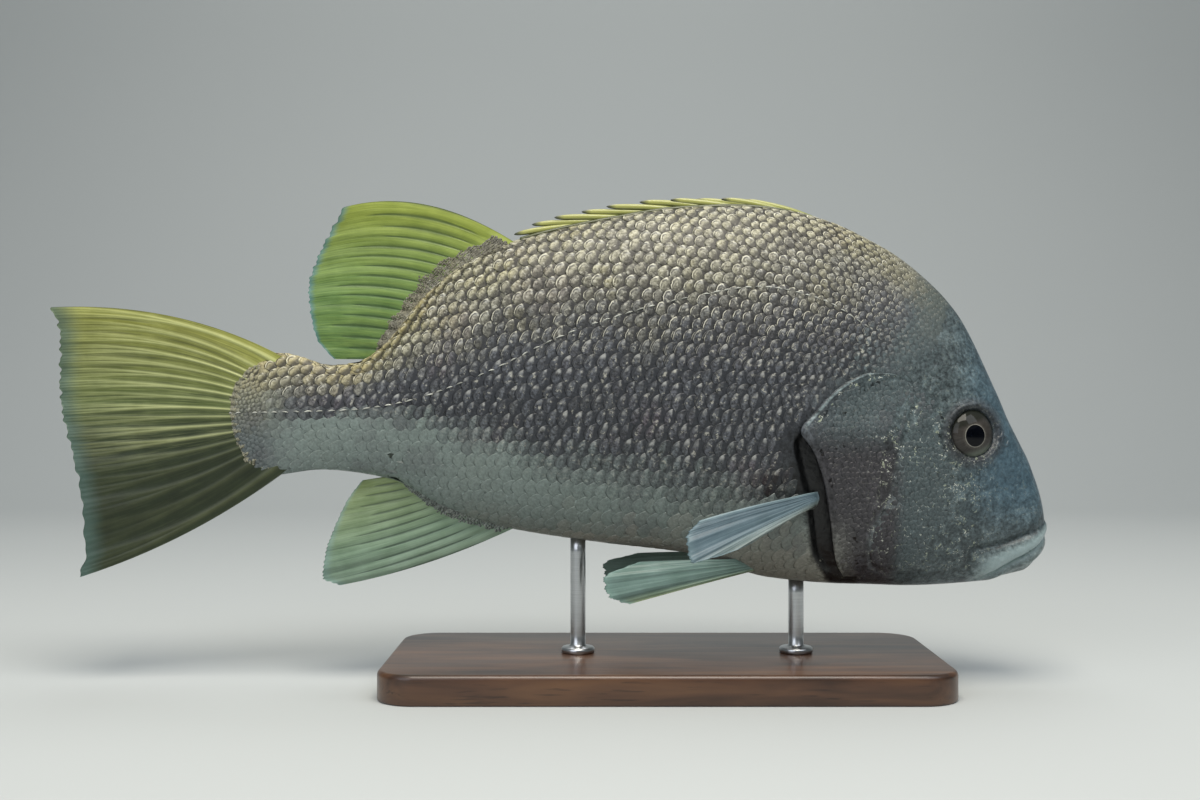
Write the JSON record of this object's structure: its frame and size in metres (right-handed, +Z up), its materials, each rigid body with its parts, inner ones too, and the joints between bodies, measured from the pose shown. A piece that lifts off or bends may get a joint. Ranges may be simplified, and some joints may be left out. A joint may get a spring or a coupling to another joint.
{
  "type": "velvetchin fish model",
  "caption": "Life-size still model of a velvetchin, a deep-bodied sea fish with yellow soft fins and folded dorsal spines, on a two-rod display stand.",
  "frame": {"origin": "under the middle of the whole model, on the surface that the stand rests on", "axes": "+X towards the fish's snout, +Y towards its left side, +Z up"},
  "size_m": [0.4212, 0.1104, 0.2035],
  "materials": {
    "head_skin": "satin, moist fish skin, blue-grey with fine pale specks",
    "lip_skin": "satin, smooth thick skin, pale blue-grey",
    "gill_skin": "satin, smooth near-black skin",
    "scaled_skin": "satin, close overlapping scales, cream and olive on the back, dark on the flank, pale below",
    "eye": "polished, dark bronze with a thin gold ring",
    "fin_spines": "satin, smooth horn, yellow-green with dark tips",
    "yellow_fin": "satin, rayed membrane, olive yellow",
    "pale_fin": "satin, rayed membrane, pale grey-green",
    "stand_wood": "satin, dark stained hardwood",
    "stand_steel": "brushed round rod"
  },
  "bodies": {
    "root": {"head": "head_skin", "upper_lip": "lip_skin", "lower_jaw": "lip_skin", "gill_membrane": "gill_skin", "gill_cover_left": "head_skin", "gill_cover_right": "head_skin", "eye_left": "eye", "eye_right": "eye", "trunk": "scaled_skin", "tail_stem": "scaled_skin", "dorsal_fin_spiny": "fin_spines", "dorsal_fin_soft": "yellow_fin", "tail_fin": "yellow_fin", "anal_fin": "pale_fin", "pectoral_fin_left": "pale_fin", "pectoral_fin_right": "pale_fin", "pelvic_fin_left": "pale_fin", "pelvic_fin_right": "pale_fin", "stand_base": "stand_wood", "stand_rod_front": "stand_steel", "stand_rod_rear": "stand_steel"}
  },
  "joints": []
}
